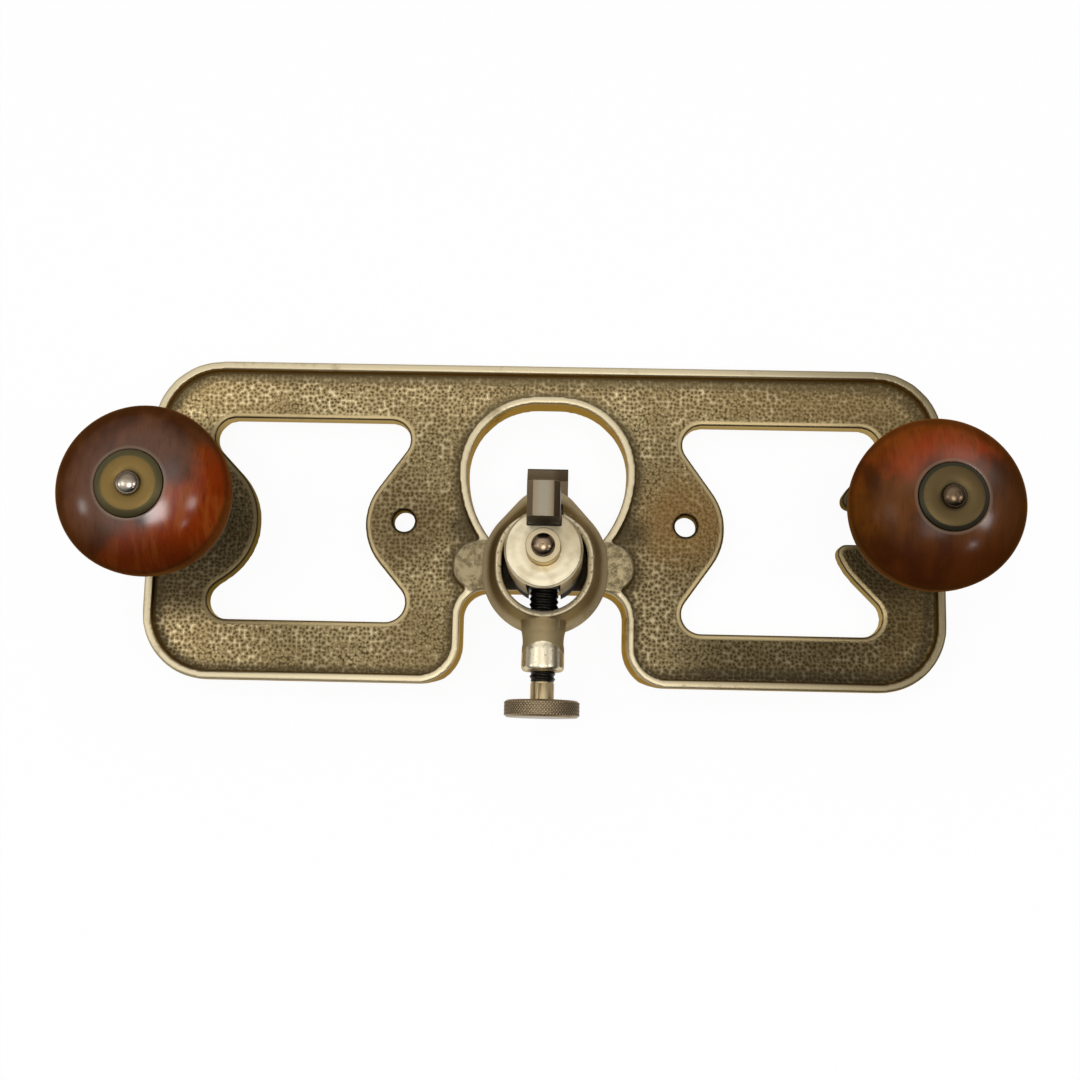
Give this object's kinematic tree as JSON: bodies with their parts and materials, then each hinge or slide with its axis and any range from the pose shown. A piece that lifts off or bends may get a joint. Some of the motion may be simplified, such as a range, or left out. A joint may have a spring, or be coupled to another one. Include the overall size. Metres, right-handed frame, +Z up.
{
  "type": "hand router plane",
  "caption": "Hand router plane: plated casting with windows, a closed loop and an open throat, turned wooden knobs, and a cutter clamped to a pillar by a collar and thumbscrew.",
  "frame": {"origin": "on the pillar's axis, at the level of the sole", "axes": "+Z up out of the sole, along the pillar; +X to the right along the casting's length; +Y forward, towards the cutting edge"},
  "size_m": [0.2088, 0.0852, 0.0541],
  "materials": {
    "plated_casting": "worn nickel plate over a stippled casting",
    "plated_turning": "worn satin nickel plate",
    "bare_steel": "dulled steel",
    "blackened_steel": "blackened",
    "bronzed_steel": "brown patina, knurled head",
    "tool_steel": "grey ground steel",
    "knob_wood": "dark red-brown, polished",
    "washer_brass": "tarnished"
  },
  "bodies": {
    "frame": {"frame_casting": "plated_casting", "pillar": "plated_turning", "pillar_stud": "bare_steel", "left_knob": "knob_wood", "right_knob": "knob_wood", "left_knob_washer": "washer_brass", "right_knob_washer": "washer_brass", "left_knob_stud": "bare_steel", "right_knob_stud": "bare_steel"},
    "collar": {"collar": "plated_turning"},
    "shoe": {"pressure_shoe": "blackened_steel"},
    "thumbscrew": {"thumbscrew": "bronzed_steel"},
    "cutter": {"cutter": "tool_steel"}
  },
  "joints": [
    {"name": "collar_lift", "type": "slide", "parent": "frame", "child": "collar", "axis": [0, 0, 1], "range_m": [-0.002, 0.012]},
    {"name": "shoe_press", "type": "slide", "parent": "collar", "child": "shoe", "axis": [0, -1, 0], "range_m": [0, 0.0039]},
    {"name": "thumbscrew_turn", "type": "hinge", "parent": "shoe", "child": "thumbscrew", "pos_m": [0, -0.02, 0.017], "axis": [0, -1, 0], "range_deg": [0, 1080]},
    {"name": "cutter_depth", "type": "slide", "parent": "frame", "child": "cutter", "axis": [0, 0, -1], "range_m": [-0.004, 0.019]}
  ],
  "couplings": [
    {"joint": "shoe_press", "follows": "thumbscrew_turn", "m_per_rad": 0.00020213}
  ]
}
